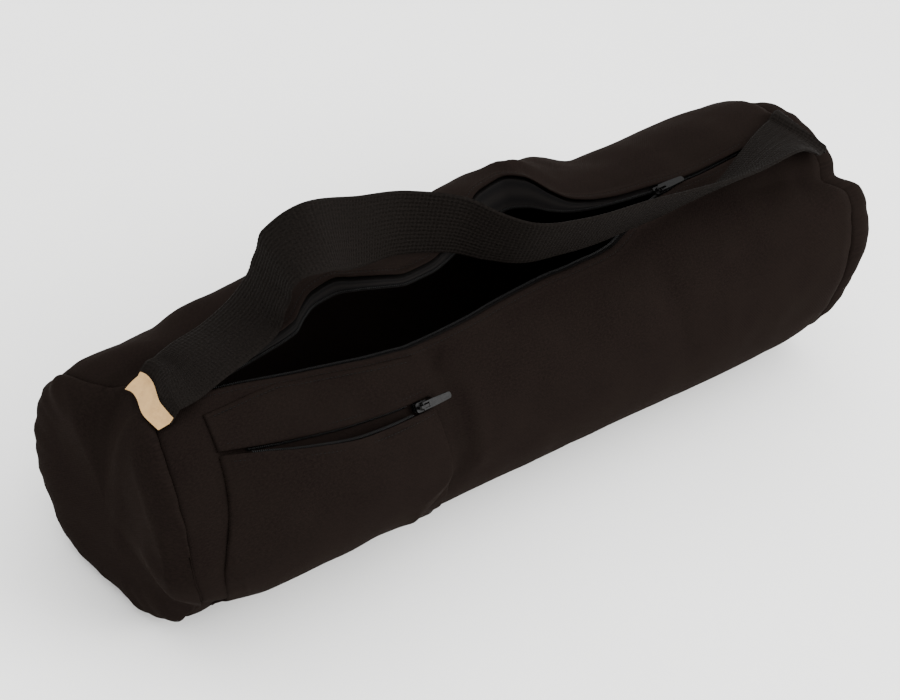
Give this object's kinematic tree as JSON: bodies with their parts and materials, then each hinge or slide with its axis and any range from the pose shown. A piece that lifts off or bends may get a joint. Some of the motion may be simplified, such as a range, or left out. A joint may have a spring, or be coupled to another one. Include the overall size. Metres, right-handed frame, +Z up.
{
  "type": "full-zip yoga mat bag, round canvas tube lying on its side and part unzipped, with a webbing carry strap and a zipped pocket",
  "caption": "Black canvas yoga mat bag lying filled out and part unzipped, with a twisted webbing strap along its top and a zipped pocket on its side",
  "frame": {"origin": "bottom centre of the overall box, on the surface that the bag lies on", "axes": "+X along the bag from the labelled end to the other, -Y towards the pocket side, +Z up through the main zip"},
  "size_m": [0.6546, 0.2118, 0.2617],
  "materials": {
    "canvas": "brownish black cotton canvas, plain woven, matt",
    "webbing": "black heavy cotton webbing with fine cross ribs, matt",
    "label": "cream woven cotton label, bare",
    "zip_tape": "black knitted zip tape with a nylon coil",
    "slider_metal": "black painted zinc casting, half gloss"
  },
  "bodies": {
    "bag": {"body_shell": "canvas", "end_left": "canvas", "end_right": "canvas", "pocket_panel": "canvas", "pocket_strip": "canvas", "strap": "webbing", "label": "label", "zip_tape_front": "zip_tape", "zip_tape_back": "zip_tape", "pocket_tape_upper": "zip_tape", "pocket_tape_lower": "zip_tape", "zip_slider": "slider_metal", "pocket_slider": "slider_metal"},
    "main_pull": {"zip_pull": "slider_metal"},
    "side_pull": {"pocket_pull": "slider_metal"}
  },
  "joints": [
    {"name": "zip_pull_turn", "type": "hinge", "parent": "bag", "child": "main_pull", "pos_m": [0.15182, -0.01086, 0.1971], "axis": [0.0071, -0.9867, -0.1622], "range_deg": [0, 150]},
    {"name": "pocket_pull_turn", "type": "hinge", "parent": "bag", "child": "side_pull", "pos_m": [-0.12553, -0.07855, 0.15258], "axis": [0.027, -0.6514, -0.7582], "range_deg": [0, 150]}
  ]
}
